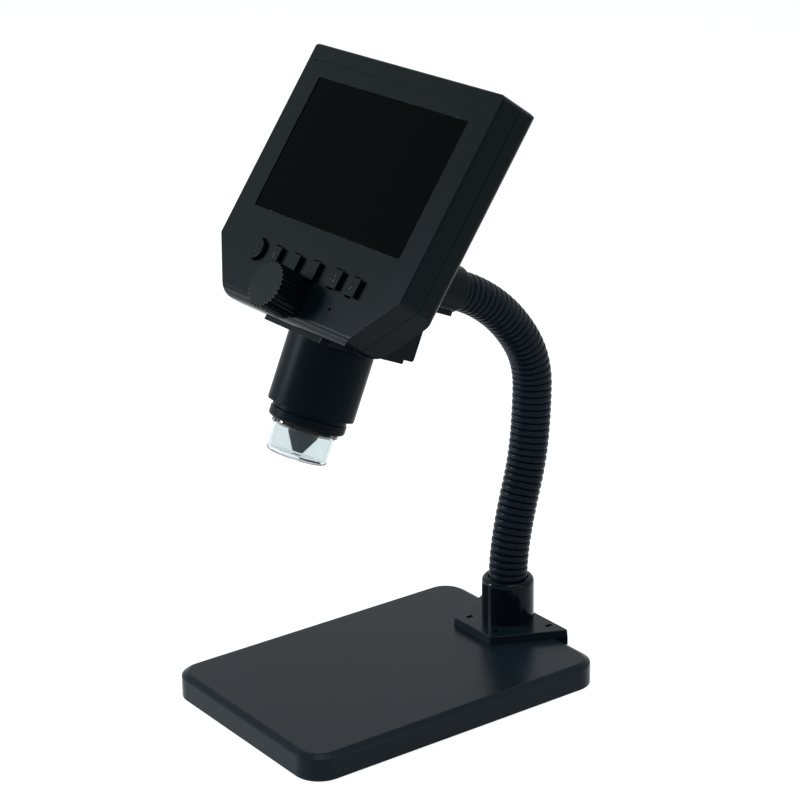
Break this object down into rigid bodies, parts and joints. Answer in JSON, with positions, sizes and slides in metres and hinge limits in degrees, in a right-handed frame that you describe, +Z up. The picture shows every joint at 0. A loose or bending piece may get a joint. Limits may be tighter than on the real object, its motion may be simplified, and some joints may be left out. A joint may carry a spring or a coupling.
{
  "type": "lcd digital microscope",
  "caption": "Desk microscope: a flat screen head with buttons, a focus knob and a lens barrel on a ribbed gooseneck over a flat weighted base.",
  "frame": {"origin": "centre of the base's underside, where it stands on the table", "axes": "+Z up; +X to the right of the person facing the screen; -Y towards that person"},
  "size_m": [0.124, 0.1604, 0.2627],
  "materials": {
    "base_plastic": "satin",
    "foot_plastic": "gloss",
    "steel_weight": "rough",
    "steel_plate": "matte",
    "screw_steel": "satin",
    "pad_rubber": "matte",
    "sleeve_rubber": "satin",
    "core_steel": "satin",
    "collar_plastic": "satin",
    "head_plastic": "satin",
    "screen": "gloss",
    "panel_metal": "satin",
    "board": "satin",
    "white_board": "matte",
    "led": "gloss",
    "cell": "satin",
    "barrel_plastic": "satin",
    "cap_clear": "gloss",
    "rack_brass": "satin",
    "lens_glass": "gloss",
    "button_plastic": "satin",
    "knob_plastic": "satin"
  },
  "bodies": {
    "base": {"base_shell": "base_plastic", "base_weight": "steel_weight", "base_bottom_plate": "steel_plate", "base_screws": "screw_steel", "non_slip_sheet": "pad_rubber", "neck_foot": "foot_plastic", "foot_screws": "screw_steel", "socket_screw": "screw_steel", "sleeve_1": "sleeve_rubber", "core_1": "core_steel"},
    "neck_link_2": {"sleeve_2": "sleeve_rubber", "core_2": "core_steel"},
    "neck_link_3": {"sleeve_3": "sleeve_rubber", "core_3": "core_steel"},
    "neck_link_4": {"sleeve_4": "sleeve_rubber", "core_4": "core_steel"},
    "neck_link_5": {"sleeve_5": "sleeve_rubber", "core_5": "core_steel"},
    "neck_link_6": {"sleeve_6": "sleeve_rubber", "core_6": "core_steel"},
    "neck_end": {"sleeve_7": "sleeve_rubber", "core_7": "core_steel", "neck_collar": "collar_plastic", "collar_screws": "screw_steel"},
    "head": {"swivel_stub": "core_steel", "front_shell": "head_plastic", "rear_shell": "head_plastic", "shell_screws": "screw_steel", "screen_glass": "screen", "lcd_panel": "panel_metal", "main_board": "board", "board_screws": "screw_steel", "button_board": "board", "battery": "cell", "usb_socket": "panel_metal", "card_socket": "panel_metal", "barrel_housing": "head_plastic", "housing_screws": "screw_steel", "back_cover": "head_plastic", "cover_screws": "screw_steel", "barrel_tube": "barrel_plastic", "end_ring": "barrel_plastic", "lens_hood": "barrel_plastic", "led_board": "white_board", "leds": "led", "clear_cap": "cap_clear"},
    "lens_carrier": {"lens_carrier": "barrel_plastic", "focus_rack": "rack_brass", "lens": "lens_glass", "sensor_board": "board"},
    "power_button": {"power_button": "button_plastic"},
    "button_1": {"button_1": "button_plastic"},
    "button_2": {"button_2": "button_plastic"},
    "button_3": {"button_3": "button_plastic"},
    "button_4": {"button_4": "button_plastic"},
    "button_5": {"button_5": "button_plastic"},
    "focus_knob": {"focus_knob": "knob_plastic", "knob_shaft": "core_steel", "shaft_clip": "screw_steel"}
  },
  "joints": [
    {"name": "neck_bend_1", "type": "hinge", "parent": "base", "child": "neck_link_2", "pos_m": [0, 0.06736, 0.05206], "axis": [1, 0, 0], "range_deg": [-12, 12]},
    {"name": "neck_side_1", "type": "hinge", "parent": "neck_link_2", "child": "neck_link_3", "pos_m": [0, 0.07262, 0.07362], "axis": [0, 0.9603, -0.279], "range_deg": [-10, 10]},
    {"name": "neck_bend_2", "type": "hinge", "parent": "neck_link_3", "child": "neck_link_4", "pos_m": [0, 0.07691, 0.09537], "axis": [1, 0, 0], "range_deg": [-12, 12]},
    {"name": "neck_bend_3", "type": "hinge", "parent": "neck_link_4", "child": "neck_link_5", "pos_m": [0, 0.07828, 0.11752], "axis": [1, 0, 0], "range_deg": [-12, 12]},
    {"name": "neck_side_2", "type": "hinge", "parent": "neck_link_5", "child": "neck_link_6", "pos_m": [0, 0.07263, 0.1387], "axis": [0, 0.858, 0.5137], "range_deg": [-10, 10]},
    {"name": "neck_bend_4", "type": "hinge", "parent": "neck_link_6", "child": "neck_end", "pos_m": [0, 0.0584, 0.15561], "axis": [1, 0, 0], "range_deg": [-12, 12]},
    {"name": "head_swivel", "type": "hinge", "parent": "neck_end", "child": "head", "pos_m": [0, 0.01712, 0.17697], "axis": [0, 0.9193, -0.3936], "range_deg": [-90, 90]},
    {"name": "power_button_press", "type": "slide", "parent": "head", "child": "power_button", "axis": [0, -0.8199, 0.5726], "range_m": [-0.0008, 0], "stiffness_N_per_m": 1900},
    {"name": "button_1_press", "type": "slide", "parent": "head", "child": "button_1", "axis": [0, -0.8199, 0.5726], "range_m": [-0.0008, 0], "stiffness_N_per_m": 1900},
    {"name": "button_2_press", "type": "slide", "parent": "head", "child": "button_2", "axis": [0, -0.8199, 0.5726], "range_m": [-0.0008, 0], "stiffness_N_per_m": 1900},
    {"name": "button_3_press", "type": "slide", "parent": "head", "child": "button_3", "axis": [0, -0.8199, 0.5726], "range_m": [-0.0008, 0], "stiffness_N_per_m": 1900},
    {"name": "button_4_press", "type": "slide", "parent": "head", "child": "button_4", "axis": [0, -0.8199, 0.5726], "range_m": [-0.0008, 0], "stiffness_N_per_m": 1900},
    {"name": "button_5_press", "type": "slide", "parent": "head", "child": "button_5", "axis": [0, -0.8199, 0.5726], "range_m": [-0.0008, 0], "stiffness_N_per_m": 1900},
    {"name": "focus_turn", "type": "hinge", "parent": "head", "child": "focus_knob", "pos_m": [0, -0.04248, 0.18101], "axis": [0, -0.8199, 0.5726], "range_deg": [-96, 96]},
    {"name": "focus_slide", "type": "slide", "parent": "head", "child": "lens_carrier", "axis": [0, 0.3936, 0.9193], "range_m": [-0.0049, 0.0049]}
  ],
  "couplings": [
    {"joint": "focus_turn", "follows": "focus_slide", "rad_per_m": 326.35}
  ]
}
